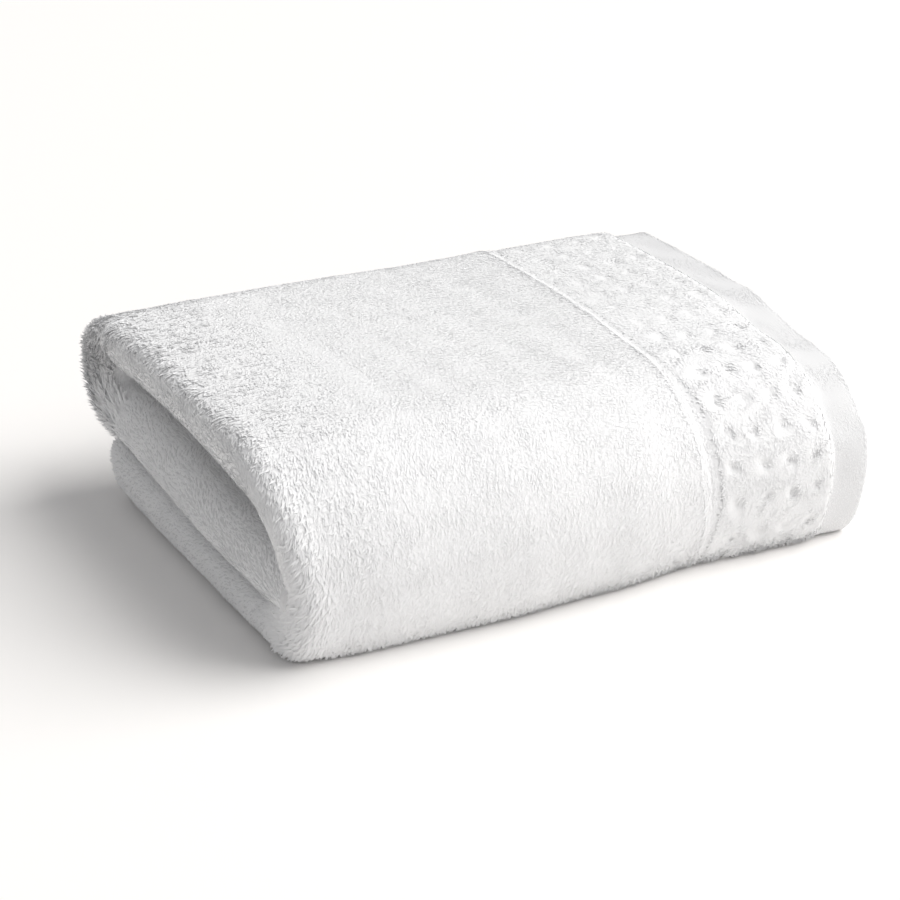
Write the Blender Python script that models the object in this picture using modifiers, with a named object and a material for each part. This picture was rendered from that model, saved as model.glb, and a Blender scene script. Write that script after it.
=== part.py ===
"""Hand towel: one terry cloth, folded in four along its length and in three across its width.

Metres, +Z up. The origin lies under the middle of the folded towel, on the surface it rests on.
+X runs to the hemmed end, -X to the open mouth between the folds, -Y is the full-height front fold.

The cloth is made flat, as a grid whose lines run along it (u) and across it (v), and is then folded:
along u into a panel of four layers, and the panel along v into a tucked flap, a top and a bottom.
"""
import math
from collections import namedtuple

import bmesh
import bpy
from mathutils import Vector

# The flat cloth
CLOTH_LENGTH = 0.875            # hem to hem
CLOTH_WIDTH = 0.500             # selvedge to selvedge
PILE_THICK = 0.0043             # ground weave with the pile on both of its faces
BORDER_THICK = 0.0039           # on the puffs of the dimpled border
SELVEDGE_THICK = 0.0028         # along the two long edges
HEM_THICK = 0.0026              # turned flat weave without pile
HEM_WIDTH = 0.0155
BORDER_WIDTH = 0.0510
ZONE_STEP = 0.0020              # width of the step from one zone of the cloth to the next
DIMPLES_ACROSS = 4              # from the hem to the pile, with half a dimple left over there
DIMPLE_DEPTH = 0.0013
PILE_LINE = HEM_WIDTH + BORDER_WIDTH
HALF_DIMPLE = (BORDER_WIDTH - ZONE_STEP) / (2 * DIMPLES_ACROSS + 1)

# The folded towel
LAYER_GAP = 0.0005              # air between two layers of a panel
FOLDED_HEIGHT = 0.0655
FOLDED_DEPTH = 0.1690
CROWN = 0.0012                  # the top's rise between its two folds
HEM_X = 0.1080                  # the outer hem's edge
INNER_HEM_SETBACK = 0.0020      # the other hem ends this much short of the outer one
FOLD_SETBACK = 0.0035           # and the fold between the hems' layers starts this much short of it
END_SKEW = 0.050                # the folded end runs this much further out per metre of depth
PANEL = 4 * PILE_THICK + 3 * LAYER_GAP

# The panel's way round, as seen from its end: its outer skin and its inner skin
BACK_FOLD_LOW = 0.0235          # underside of the fold at the back, on the bottom panel
BACK_FOLD_RADIUS = (FOLDED_HEIGHT - BACK_FOLD_LOW) / 2
BACK_FOLD_Y = FOLDED_DEPTH / 2 - BACK_FOLD_RADIUS
BACK_FOLD_Z = BACK_FOLD_LOW + BACK_FOLD_RADIUS
FLAP_LOW = 0.0158               # underside of the tucked flap at its free edge
FLAP_LEVEL = 0.2                # share of the flap, from that edge, that lies level

Skin = namedtuple("Skin", "depth shoulder_y front_y front_z toe_y free_y flap_reach")
OUTER = Skin(depth=0.0, shoulder_y=-0.0345, front_y=-0.0785, front_z=0.0240,
             toe_y=-0.0685, free_y=0.0595, flap_reach=0.0)
INNER = Skin(depth=PANEL, shoulder_y=-0.0455, front_y=-0.0590, front_z=0.0315,
             toe_y=-0.0475, free_y=0.0700, flap_reach=0.0040)

# Rows of faces along each run of that way, from the flap's free edge to the bottom's. The dimples
# lie between them, one to a row.
RUNS = {"flap": 8, "back fold": 8, "top": 8, "shoulder": 5, "toe": 4, "bottom": 9}

# Where each run starts, and where the last one ends: how far the towel's own weight presses the
# panel there, and how far its two skins are set in at the folded end
Joint = namedtuple("Joint", "press outer_inset inner_inset")
JOINTS = (
    Joint(press=0.94, outer_inset=0.0010, inner_inset=0.0070),
    Joint(press=0.94, outer_inset=0.0005, inner_inset=0.0080),
    Joint(press=1.00, outer_inset=0.0, inner_inset=0.0070),
    Joint(press=1.10, outer_inset=0.0005, inner_inset=0.0030),
    Joint(press=1.02, outer_inset=0.0050, inner_inset=0.0060),
    Joint(press=0.80, outer_inset=0.0030, inner_inset=0.0040),
    Joint(press=1.20, outer_inset=0.0042, inner_inset=0.0042),
)

# How the towel departs from even along its length: the front wall's bulge, the top's rise, and
# how far the rounded edge between them droops
Station = namedtuple("Station", "x bulge rise droop")
STATIONS = (
    Station(x=-0.115, bulge=0.0035, rise=0.0, droop=0.0),
    Station(x=-0.070, bulge=0.0058, rise=0.0008, droop=0.0),
    Station(x=-0.033, bulge=0.0063, rise=0.0008, droop=0.0),
    Station(x=0.005, bulge=0.0045, rise=0.0002, droop=0.0),
    Station(x=0.044, bulge=0.0008, rise=0.0004, droop=0.0010),
    Station(x=0.075, bulge=0.0020, rise=0.0006, droop=0.0026),
    Station(x=0.108, bulge=0.0019, rise=-0.0002, droop=0.0044),
)

# The fold radii of the cloth's middle surface, and the legs that they leave between them
OUTER_NOSE = 3 * (PILE_THICK + LAYER_GAP) / 2
INNER_NOSE = (PILE_THICK + LAYER_GAP) / 2
OUTER_NOSE_SQUARENESS = 0.82    # 1 is a half circle, less is boxier
LEG = (CLOTH_LENGTH + 2 * FOLD_SETBACK + INNER_HEM_SETBACK - math.pi * (OUTER_NOSE + 2 * INNER_NOSE)) / 4
NOSE_X = HEM_X - LEG

# Faces along the cloth: on the half circles of its folds and on the plain length of its legs
OUTER_NOSE_FACES = 7
INNER_NOSE_FACES = 5
OUTER_LEG_FACES = 4
INNER_LEG_FACES = 3


def smooth_step(low, high, value):
    """0 below low, 1 above high, and an even curve between."""
    part = min(max((value - low) / (high - low), 0.0), 1.0)
    return part * part * (3 - 2 * part)


def uneven(x):
    """The station at x, on a smooth curve through the table's stations."""
    for near, far in zip(STATIONS, STATIONS[1:]):
        if x <= far.x or far is STATIONS[-1]:
            part = smooth_step(near.x, far.x, x)
            return Station(*(low + (high - low) * part for low, high in zip(near, far)))


def zone_thickness(from_hem):
    """Thickness of the cloth at a distance from its nearer hem's edge."""
    hem_end = smooth_step(HEM_WIDTH - ZONE_STEP / 2, HEM_WIDTH + ZONE_STEP / 2, from_hem)
    pile_start = smooth_step(PILE_LINE - ZONE_STEP / 2, PILE_LINE + ZONE_STEP / 2, from_hem)
    return HEM_THICK + (BORDER_THICK - HEM_THICK) * hem_end + (PILE_THICK - BORDER_THICK) * pile_start


def lengthwise(u):
    """Where the cloth lies along the towel at u, and which layer it is in there.

    Layers count from the panel's outer skin, 0 to 3, and pass smoothly through a fold's half circle.
    """
    fold_x = HEM_X - FOLD_SETBACK
    runs = (
        ("leg", LEG, HEM_X, -1, 0),
        ("nose", math.pi * OUTER_NOSE, NOSE_X, -1, 0),
        ("leg", LEG - FOLD_SETBACK, NOSE_X, 1, 3),
        ("nose", math.pi * INNER_NOSE, fold_x, 1, 3),
        ("leg", LEG - FOLD_SETBACK, fold_x, -1, 2),
        ("nose", math.pi * INNER_NOSE, NOSE_X, -1, 2),
        ("leg", LEG - INNER_HEM_SETBACK, NOSE_X, 1, 1),
    )
    turns_to = {0: 3, 3: 2, 2: 1}
    for kind, length, start, way, layer in runs:
        if u <= length + 1e-9 or kind == "leg" and layer == 1:
            break
        u -= length
    if kind == "leg":
        return start + way * u, float(layer)
    angle = math.pi * u / length
    far_layer = turns_to[layer]
    square = OUTER_NOSE_SQUARENESS if layer == 0 else 1.0
    out = abs(math.sin(angle)) ** square
    up = math.copysign(abs(math.cos(angle)) ** square, math.cos(angle))
    return (start + way * (length / math.pi) * out,
            (layer + far_layer) / 2 + (layer - far_layer) / 2 * up)


def layer_depth(x, layer, sinks):
    """Depth of a layer's middle surface below the panel's outer skin at x.

    The two hemmed layers grow thinner towards the hems. What they leave is taken up by the outer
    skin sinking where sinks is 1, and by the inner layers moving out where it is 0.
    """
    outer_hem = zone_thickness(HEM_X - x)
    inner_hem = zone_thickness(HEM_X - INNER_HEM_SETBACK - x)
    thick = (outer_hem, inner_hem, PILE_THICK, PILE_THICK)
    slack = 2 * PILE_THICK - outer_hem - inner_hem
    middles = [sum(thick[:n]) + n * LAYER_GAP + thick[n] / 2 for n in range(4)]
    low = min(int(layer), 2)
    return sinks * slack + middles[low] + (middles[low + 1] - middles[low]) * (layer - low)


def run_at(row):
    """The run of the panel's way that a row lies on, and how far along it."""
    for run, rows in RUNS.items():
        if row <= rows + 1e-6 or run == "bottom":
            return run, row / rows
        row -= rows


def joint_at(run, part):
    """The panel's press and insets part of the way along a run."""
    number = list(RUNS).index(run)
    start, end = JOINTS[number], JOINTS[number + 1]
    return Joint(*(low + (high - low) * part * part for low, high in zip(start, end)))


def way_round(skin, run, part):
    """A point of one skin of the panel, as seen from the towel's end."""
    depth = skin.depth * joint_at(run, part).press
    if run == "flap":
        low = FLAP_LOW + (BACK_FOLD_LOW - FLAP_LOW) * smooth_step(FLAP_LEVEL, 1.0, part)
        edge = FLAP_EDGE_Y - skin.flap_reach
        return Vector((0, edge + (BACK_FOLD_Y - edge) * part, low + depth))
    if run == "back fold":
        angle = math.pi * (part - 0.5)
        radius = BACK_FOLD_RADIUS - depth
        return Vector((0, BACK_FOLD_Y + radius * math.cos(angle), BACK_FOLD_Z + radius * math.sin(angle)))
    if run == "top":
        return Vector((0, BACK_FOLD_Y + (skin.shoulder_y - BACK_FOLD_Y) * part, FOLDED_HEIGHT - depth))
    if run == "shoulder":
        angle = math.pi / 2 * part
        return Vector((0, skin.shoulder_y + (skin.front_y - skin.shoulder_y) * math.sin(angle),
                       skin.front_z + (FOLDED_HEIGHT - depth - skin.front_z) * math.cos(angle)))
    if run == "toe":
        angle = math.pi / 2 * part
        return Vector((0, skin.toe_y + (skin.front_y - skin.toe_y) * math.cos(angle),
                       skin.front_z - (skin.front_z - depth) * math.sin(angle)))
    return Vector((0, skin.toe_y + (skin.free_y - skin.toe_y) * part, depth))


def skin_length(skin, run, steps=60):
    """Length of one skin of the panel along a run."""
    points = [way_round(skin, run, n / steps) for n in range(steps + 1)]
    return sum((far - near).length for near, far in zip(points, points[1:]))


# The flap takes what the other runs leave of the cloth's width
FLAP_EDGE_Y = BACK_FOLD_Y - (CLOTH_WIDTH - sum(skin_length(OUTER, run) for run in RUNS if run != "flap"))


def fold(u, row):
    """Folds a point of the flat cloth into the towel."""
    x, layer = lengthwise(u)
    run, part = run_at(row)
    sinks = {"flap": 0.0, "back fold": part, "top": 1.0, "shoulder": 1.0,
             "toe": 1.0 - part, "bottom": 0.0}[run]
    share = layer_depth(x, layer, sinks) / PANEL
    place = way_round(OUTER, run, part).lerp(way_round(INNER, run, part), share)
    there = uneven(x)
    upness = smooth_step(FOLDED_HEIGHT / 2, FOLDED_HEIGHT - PANEL, place.z)
    if run == "top":
        place.z += CROWN * math.sin(math.pi * part)
    if run != "flap":
        at_shoulder = smooth_step(0.0, OUTER.shoulder_y, place.y)
        place.z += (there.rise - there.droop * at_shoulder) * upness
        place.y -= there.bulge * smooth_step(BACK_FOLD_Y, OUTER.shoulder_y, place.y)
    to_fold = (HEM_X - x) / (HEM_X - NOSE_X)
    joint = joint_at(run, part)
    inset = joint.outer_inset + (joint.inner_inset - joint.outer_inset) * share
    place.x = x + (END_SKEW * (FOLDED_DEPTH / 2 - place.y) + inset) * to_fold
    return place


def cloth_lines():
    """The lines of the flat grid along the cloth, from the outer hem to the inner one."""
    pile_start = PILE_LINE + ZONE_STEP / 2
    lines = [0.0, HEM_WIDTH - ZONE_STEP / 2]
    lines += [HEM_WIDTH + ZONE_STEP / 2 + HALF_DIMPLE * n for n in range(2 * DIMPLES_ACROSS + 2)]
    lines += [pile_start]
    for length, faces in (
        (LEG - pile_start, OUTER_LEG_FACES),
        (math.pi * OUTER_NOSE, OUTER_NOSE_FACES),
        (LEG - FOLD_SETBACK, INNER_LEG_FACES),
        (math.pi * INNER_NOSE, INNER_NOSE_FACES),
        (LEG - FOLD_SETBACK, INNER_LEG_FACES),
        (math.pi * INNER_NOSE, INNER_NOSE_FACES),
        (LEG - INNER_HEM_SETBACK - PILE_LINE, INNER_LEG_FACES),
        (BORDER_WIDTH, 1),
        (HEM_WIDTH, 1),
    ):
        start = lines[-1]
        lines += [start + length * n / faces for n in range(1, faces + 1)]
    return lines


def build_towel():
    """The towel's one solid: a flat grid, folded, and given the cloth's thickness by Solidify."""
    lines = cloth_lines()
    rows = sum(RUNS.values())
    bm = bmesh.new()
    bmesh.ops.create_grid(bm, x_segments=len(lines) - 1, y_segments=rows, size=0.5)
    for vert in bm.verts:
        line = round((vert.co.x + 0.5) * (len(lines) - 1))
        vert.co = (lines[line], (vert.co.y + 0.5) * rows, 0)

    # The border gets a line of points between each two rows, for the dimples
    across = [edge for edge in bm.edges
              if all(HEM_WIDTH < vert.co.x < PILE_LINE for vert in edge.verts)
              and edge.verts[0].co.x == edge.verts[1].co.x]
    bmesh.ops.subdivide_edges(bm, edges=across, cuts=1, use_grid_fill=True)

    thickness = {}
    bm.verts.ensure_lookup_table()
    for vert in bm.verts:
        u, row = vert.co.x, vert.co.y
        thick = zone_thickness(min(u, CLOTH_LENGTH - u))
        if row in (0, rows):
            thick = min(thick, SELVEDGE_THICK)
        thick *= min(1.0, joint_at(*run_at(row)).press)
        half_dimples = round((u - HEM_WIDTH - ZONE_STEP / 2) / HALF_DIMPLE)
        in_border = HEM_WIDTH < u < PILE_LINE - ZONE_STEP
        if in_border and half_dimples % 2 == 1 and row % 1 == 0.5:
            thick -= DIMPLE_DEPTH
        thickness[vert.index] = thick
        vert.co = fold(u, row)

    mesh = bpy.data.meshes.new("towel")
    bm.to_mesh(mesh)
    bm.free()
    towel = bpy.data.objects.new("towel", mesh)
    group = towel.vertex_groups.new(name="thickness")
    for index, thick in thickness.items():
        group.add([index], thick / PILE_THICK, "REPLACE")
    wall = towel.modifiers.new("thickness", "SOLIDIFY")
    wall.thickness = PILE_THICK
    wall.offset = 0.0
    wall.use_even_offset = True
    wall.vertex_group = group.name
    mesh.shade_smooth()
    return towel


def terry_material():
    """White cotton terry: matt, without any gloss of its own."""
    material = bpy.data.materials.new("white terry")
    material.use_nodes = True
    shader = material.node_tree.nodes["Principled BSDF"]
    shader.inputs["Base Color"].default_value = (0.86, 0.86, 0.865, 1.0)
    shader.inputs["Roughness"].default_value = 0.95
    shader.inputs["Metallic"].default_value = 0.0
    return material


def main():
    for old in list(bpy.data.objects):
        bpy.data.objects.remove(old, do_unlink=True)
    collection = bpy.data.collections.new("hand towel")
    bpy.context.scene.collection.children.link(collection)
    towel = build_towel()
    towel.data.materials.append(terry_material())
    collection.objects.link(towel)


main()
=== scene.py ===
# %% [markdown]
# # A folded hand towel
#
# The real thing is one piece of white cotton terry: a flat ground weave with loops of pile on both
# faces, a border near each end whose pile is puckered into rows of dimples, and a flat hem. It is
# folded in four along its length, and that panel in three across its width. This lesson dresses the
# plain solid of the folded towel: first a fine sheet with the same folds, then the pile on it as
# more than a hundred thousand small tufts, then the finishes, and the studio around it.

# %% Load the plain solid
import math
from collections import namedtuple

import bmesh
import bpy
import numpy as np
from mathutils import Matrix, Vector


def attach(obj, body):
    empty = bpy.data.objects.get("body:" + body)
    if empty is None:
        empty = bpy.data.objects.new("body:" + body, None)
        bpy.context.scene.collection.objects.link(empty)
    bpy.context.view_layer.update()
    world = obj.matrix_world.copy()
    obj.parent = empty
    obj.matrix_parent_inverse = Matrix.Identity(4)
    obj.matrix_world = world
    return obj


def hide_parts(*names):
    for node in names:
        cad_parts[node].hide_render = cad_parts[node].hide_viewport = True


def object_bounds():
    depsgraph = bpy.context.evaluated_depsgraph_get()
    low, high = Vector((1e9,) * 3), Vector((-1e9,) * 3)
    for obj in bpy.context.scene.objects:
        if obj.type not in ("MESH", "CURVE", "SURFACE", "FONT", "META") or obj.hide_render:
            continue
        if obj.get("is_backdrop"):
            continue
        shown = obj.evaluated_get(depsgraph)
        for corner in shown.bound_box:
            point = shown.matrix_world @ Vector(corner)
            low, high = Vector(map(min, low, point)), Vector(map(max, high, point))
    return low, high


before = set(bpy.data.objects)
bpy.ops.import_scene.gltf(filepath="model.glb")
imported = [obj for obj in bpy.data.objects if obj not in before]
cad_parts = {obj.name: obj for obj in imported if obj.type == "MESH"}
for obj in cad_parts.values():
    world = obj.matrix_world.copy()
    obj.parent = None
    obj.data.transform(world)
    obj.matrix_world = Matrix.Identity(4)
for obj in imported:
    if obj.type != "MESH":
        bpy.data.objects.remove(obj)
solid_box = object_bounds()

MM = 0.001
print("solid, mm:", [[round(c / MM, 1) for c in corner] for corner in solid_box])

# %% [markdown]
# ## The cloth while it is flat
#
# A point of the cloth is named by u, its distance from the outer hem, and v, its distance from the
# selvedge that gets tucked in. Everything that the loom made lies along those two directions, so
# the border, the hems and the pile are laid out here before anything is folded.

# %% Sizes of the flat cloth
CLOTH_LENGTH = 875 * MM
CLOTH_WIDTH = 500 * MM
PILE_THICK = 4.3 * MM
BORDER_THICK = 3.9 * MM
SELVEDGE_THICK = 2.8 * MM
HEM_THICK = 2.6 * MM
HEM_WIDTH = 15.5 * MM
BORDER_WIDTH = 51 * MM
ZONE_STEP = 2 * MM
PILE_LINE = HEM_WIDTH + BORDER_WIDTH


def smooth_step(low, high, value):
    """0 below low, 1 above high, and an even curve between."""
    part = np.clip((value - low) / (high - low), 0.0, 1.0)
    return part * part * (3 - 2 * part)


def blend(low, high, share):
    """From low to high by a share between 0 and 1."""
    return low + (high - low) * share


def zone_thickness(from_hem):
    """Thickness of the cloth at a distance from its nearer hem's edge."""
    hem_end = smooth_step(HEM_WIDTH - ZONE_STEP / 2, HEM_WIDTH + ZONE_STEP / 2, from_hem)
    pile_start = smooth_step(PILE_LINE - ZONE_STEP / 2, PILE_LINE + ZONE_STEP / 2, from_hem)
    return HEM_THICK + (BORDER_THICK - HEM_THICK) * hem_end + (PILE_THICK - BORDER_THICK) * pile_start


print("thickness at hem, border and pile, mm:", zone_thickness(np.array([5, 40, 90]) * MM) / MM)

# %% [markdown]
# ## The folds
#
# Folding is arithmetic: a function takes u and v and says where that point of the cloth ends up.
# Along u the cloth goes back and forth in four layers, with a wide nose at the open end. Across v
# the four layers together go round: a tucked flap, the back fold, the top, the rounded shoulder, the
# toe and the bottom. The sizes are the plain solid's, so the sheet lies where the solid does.

# %% Sizes of the folded towel
LAYER_GAP = 0.5 * MM
FOLDED_HEIGHT = 65.5 * MM
FOLDED_DEPTH = 169 * MM
CROWN = 1.2 * MM
HEM_X = 108 * MM
INNER_HEM_SETBACK = 2 * MM
FOLD_SETBACK = 3.5 * MM
CORNER_CUT = 4 * MM             # how far the hemmed end's lower front corner is rounded off
CORNER_WAY = (3.6, 5.2)         # where on the way round that starts, and where it is at its full
CORNER_LENGTH = 40 * MM
END_SKEW = 0.050
PANEL = 4 * PILE_THICK + 3 * LAYER_GAP
BACK_FOLD_LOW = 23.5 * MM
BACK_FOLD_RADIUS = (FOLDED_HEIGHT - BACK_FOLD_LOW) / 2
BACK_FOLD_Y = FOLDED_DEPTH / 2 - BACK_FOLD_RADIUS
BACK_FOLD_Z = BACK_FOLD_LOW + BACK_FOLD_RADIUS
FLAP_LOW = 15.8 * MM
FLAP_LEVEL = 0.2
FLAP_REACH = 2 * MM             # how far the flap's edge is pushed on towards the front wall
FLAP_REACH_AT_MOUTH = 18 * MM
MOUTH_ZONE = (0.95, 1.02)       # shares of the way from the hems to the open end
OUTER_NOSE = 3 * (PILE_THICK + LAYER_GAP) / 2
INNER_NOSE = (PILE_THICK + LAYER_GAP) / 2
OUTER_NOSE_SQUARENESS = 0.82
NOSE_LENGTHS = math.pi * (OUTER_NOSE + 2 * INNER_NOSE)
LEG = (CLOTH_LENGTH + 2 * FOLD_SETBACK + INNER_HEM_SETBACK - NOSE_LENGTHS) / 4
NOSE_X = HEM_X - LEG

Skin = namedtuple("Skin", "depth shoulder_y front_y front_z toe_y free_y flap_reach")
OUTER = Skin(0.0, -34.5 * MM, -78.5 * MM, 24.0 * MM, -68.5 * MM, 59.5 * MM, 0.0)
INNER = Skin(PANEL, -45.5 * MM, -59.0 * MM, 31.5 * MM, -47.5 * MM, 70.0 * MM, 4.0 * MM)
RUNS = ("flap", "back fold", "top", "shoulder", "toe", "bottom")

# Where each run starts, and where the last one ends: how far the weight of the towel presses the
# panel, and how far its outer and inner skin are set in at the folded end
JOINTS = np.array([
    (0.94, 1.0 * MM, 7.0 * MM),
    (0.94, 0.5 * MM, 8.0 * MM),
    (1.00, 0.0 * MM, 7.0 * MM),
    (1.10, 0.5 * MM, 3.0 * MM),
    (1.02, 5.0 * MM, 6.0 * MM),
    (0.80, 3.0 * MM, 4.0 * MM),
    (1.20, 4.2 * MM, 4.2 * MM),
])

# Along the towel: x, the front wall's bulge, the top's rise, and the shoulder's droop
STATIONS = np.array([
    (-115, 3.5, 0.0, 0.0),
    (-70, 5.8, 0.8, 0.0),
    (-33, 6.3, 0.8, 0.0),
    (5, 4.5, 0.2, 0.0),
    (44, 0.8, 0.4, 1.0),
    (75, 2.0, 0.6, 2.6),
    (108, 1.9, -0.2, 4.4),
]) * MM

# Along the cloth: the length of each leg or nose, where it starts, which way it runs along X, and
# the layers that it starts and ends in, counted from the outside of the panel
Stretch = namedtuple("Stretch", "length start_x way layer next_layer")
FOLD_X = HEM_X - FOLD_SETBACK
STRETCHES = (
    Stretch(LEG, HEM_X, -1, 0, 0),
    Stretch(math.pi * OUTER_NOSE, NOSE_X, -1, 0, 3),
    Stretch(LEG - FOLD_SETBACK, NOSE_X, 1, 3, 3),
    Stretch(math.pi * INNER_NOSE, FOLD_X, 1, 3, 2),
    Stretch(LEG - FOLD_SETBACK, FOLD_X, -1, 2, 2),
    Stretch(math.pi * INNER_NOSE, NOSE_X, -1, 2, 1),
    Stretch(LEG - INNER_HEM_SETBACK, NOSE_X, 1, 1, 1),
)
STRETCH_ENDS = np.cumsum([stretch.length for stretch in STRETCHES])
print("a leg is", round(LEG / MM, 1), "mm long, and the cloth", round(STRETCH_ENDS[-1] / MM, 1), "mm")

# %% Folding along the length


def lengthwise(u):
    """Where the cloth lies along X at u, and which layer of the panel it is in there."""
    x, layer = np.zeros_like(u), np.zeros_like(u)
    which = np.minimum(np.searchsorted(STRETCH_ENDS, u - 1e-9), len(STRETCHES) - 1)
    for number, stretch in enumerate(STRETCHES):
        here = which == number
        along = u[here] - (STRETCH_ENDS[number] - stretch.length)
        if stretch.layer == stretch.next_layer:
            x[here] = stretch.start_x + stretch.way * along
            layer[here] = stretch.layer
            continue
        angle = math.pi * along / stretch.length
        square = OUTER_NOSE_SQUARENESS if stretch.layer == 0 else 1.0
        out = np.abs(np.sin(angle)) ** square
        up = np.sign(np.cos(angle)) * np.abs(np.cos(angle)) ** square
        x[here] = stretch.start_x + stretch.way * stretch.length / math.pi * out
        middle = (stretch.layer + stretch.next_layer) / 2
        layer[here] = middle + (stretch.layer - middle) * up
    return x, layer


def layer_depth(x, layer, sinks):
    """Depth of a layer's middle below the panel's outer skin.

    The hemmed layers get thinner to their ends, and sinks is the share of the room that this leaves
    by which the layers above come down.
    """
    outer_hem = zone_thickness(HEM_X - x)
    inner_hem = zone_thickness(HEM_X - INNER_HEM_SETBACK - x)
    pile = np.full_like(x, PILE_THICK)
    thick = np.array([outer_hem, inner_hem, pile, pile])
    middles = np.cumsum(thick, axis=0) - thick / 2 + LAYER_GAP * np.arange(4)[:, None]
    low = np.minimum(layer.astype(int), 2)
    each = np.arange(len(x))
    above, below = middles[low, each], middles[low + 1, each]
    slack = 2 * PILE_THICK - outer_hem - inner_hem
    return sinks * slack + above + (below - above) * (layer - low)


x, layer = lengthwise(np.array([0.0, LEG, LEG + math.pi * OUTER_NOSE, CLOTH_LENGTH]))
print("x, mm:", np.round(x / MM, 1), "layer:", layer)

# %% Folding across the width


def along_joints(way):
    """Press and insets at a place on the way round, on a curve through the joints' table."""
    run = np.clip(way.astype(int), 0, len(RUNS) - 1)
    part = (way - run)[:, None]
    return (JOINTS[run] + (JOINTS[run + 1] - JOINTS[run]) * part * part).T


def way_round(skin, way):
    """y and z of one skin of the panel. way counts the runs: 2.5 is half way along the top."""
    run = np.clip(way.astype(int), 0, len(RUNS) - 1)
    part = way - run
    depth = skin.depth * along_joints(way)[0]
    quarter = math.pi / 2 * part
    half = math.pi * (part - 0.5)
    radius = BACK_FOLD_RADIUS - depth
    edge = FLAP_EDGE_Y - skin.flap_reach
    flap_low = FLAP_LOW + (BACK_FOLD_LOW - FLAP_LOW) * smooth_step(FLAP_LEVEL, 1.0, part)
    top = FOLDED_HEIGHT - depth
    y = np.choose(run, (
        edge + (BACK_FOLD_Y - edge) * part,
        BACK_FOLD_Y + radius * np.cos(half),
        BACK_FOLD_Y + (skin.shoulder_y - BACK_FOLD_Y) * part,
        skin.shoulder_y + (skin.front_y - skin.shoulder_y) * np.sin(quarter),
        skin.toe_y + (skin.front_y - skin.toe_y) * np.cos(quarter),
        skin.toe_y + (skin.free_y - skin.toe_y) * part,
    ))
    z = np.choose(run, (
        flap_low + depth,
        BACK_FOLD_Z + radius * np.sin(half),
        top,
        skin.front_z + (top - skin.front_z) * np.cos(quarter),
        skin.front_z - (skin.front_z - depth) * np.sin(quarter),
        depth,
    ))
    return y, z


# The way round is measured in short steps, and the flap takes what the other runs leave
STEPS = 60                      # steps that each run is cut into
FLAP_EDGE_Y = 0.0
WAY = np.linspace(0, len(RUNS), STEPS * len(RUNS) + 1)
steps = np.hypot(*(np.diff(place) for place in way_round(OUTER, WAY)))
FLAP_EDGE_Y = BACK_FOLD_Y - (CLOTH_WIDTH - steps[STEPS:].sum())
steps = np.hypot(*(np.diff(place) for place in way_round(OUTER, WAY)))
ACROSS = np.concatenate(([0.0], np.cumsum(steps)))
RUN_STARTS = dict(zip(RUNS, ACROSS[::STEPS]))
print("v where each run starts, mm:", {run: round(v / MM, 1) for run, v in RUN_STARTS.items()})

# %% Folding both ways


def uneven(x):
    """Bulge, rise and droop at x, on a smooth curve through the stations."""
    near = np.clip(np.searchsorted(STATIONS[:, 0], x) - 1, 0, len(STATIONS) - 2)
    part = smooth_step(STATIONS[near, 0], STATIONS[near + 1, 0], x)[:, None]
    return (STATIONS[near] + (STATIONS[near + 1] - STATIONS[near]) * part).T[1:]


def fold(u, v):
    """Where the middle of the cloth lies at u and v once it is folded: one row of x, y, z each."""
    x, layer = lengthwise(u)
    way = np.interp(v, ACROSS, WAY)
    run = np.clip(way.astype(int), 0, len(RUNS) - 1)
    part = way - run
    sinks = np.choose(run, (0.0, part, 1.0, 1.0, 1.0 - part, 0.0))
    share = layer_depth(x, layer, sinks) / PANEL
    (outer_y, outer_z), (inner_y, inner_z) = way_round(OUTER, way), way_round(INNER, way)
    y = outer_y + (inner_y - outer_y) * share
    z = outer_z + (inner_z - outer_z) * share
    bulge, rise, droop = uneven(x)
    upness = smooth_step(FOLDED_HEIGHT / 2, FOLDED_HEIGHT - PANEL, z)
    on_top, in_flap = run == RUNS.index("top"), run == RUNS.index("flap")
    rolled = ~in_flap
    z = z + CROWN * np.sin(math.pi * part) * on_top
    at_shoulder = smooth_step(0.0, OUTER.shoulder_y, y)
    z = z + (rise - droop * at_shoulder) * upness * rolled
    y = y - bulge * smooth_step(BACK_FOLD_Y, OUTER.shoulder_y, y) * rolled
    to_fold = (HEM_X - x) / (HEM_X - NOSE_X)
    reach = bulge + blend(FLAP_REACH, FLAP_REACH_AT_MOUTH, smooth_step(*MOUTH_ZONE, to_fold))
    y = y - reach * np.maximum(1 - part * 2, 0) ** 2 * in_flap
    _, outer_inset, inner_inset = along_joints(way)
    inset = blend(outer_inset, inner_inset, share)
    x = x - CORNER_CUT * smooth_step(*CORNER_WAY, way) * smooth_step(HEM_X - CORNER_LENGTH, HEM_X, x)
    return np.stack([x + (END_SKEW * (FOLDED_DEPTH / 2 - y) + inset) * to_fold, y, z], axis=1)


def unit(vectors):
    """Each row of a list of vectors made 1 long."""
    return vectors / np.maximum(np.linalg.norm(vectors, axis=1, keepdims=True), 1e-12)


def cloth_frame(u, v, reach=0.3 * MM):
    """Directions along u, along v and out of the cloth's pile side, at u and v."""
    along = unit(fold(np.minimum(u + reach, CLOTH_LENGTH), v) - fold(np.maximum(u - reach, 0), v))
    across = unit(fold(u, np.minimum(v + reach, CLOTH_WIDTH)) - fold(u, np.maximum(v - reach, 0)))
    out = unit(np.cross(along, across))
    return along, unit(np.cross(out, along)), out


print("a point on the top, mm:", np.round(fold(np.array([0.1]), np.array([0.22])) / MM, 1))

# %% [markdown]
# ## Relief of the cloth
#
# Terry is never even. The pile lies in soft patches a finger wide, the border has a dimple every
# centimetre where the pattern ties the pile down, and a groove shows where the border meets the
# pile. A bump map could fake that, but it would leave the outline straight. So all of it is height
# above the cloth's middle, worked out from u and v, and it moves real points.

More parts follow.
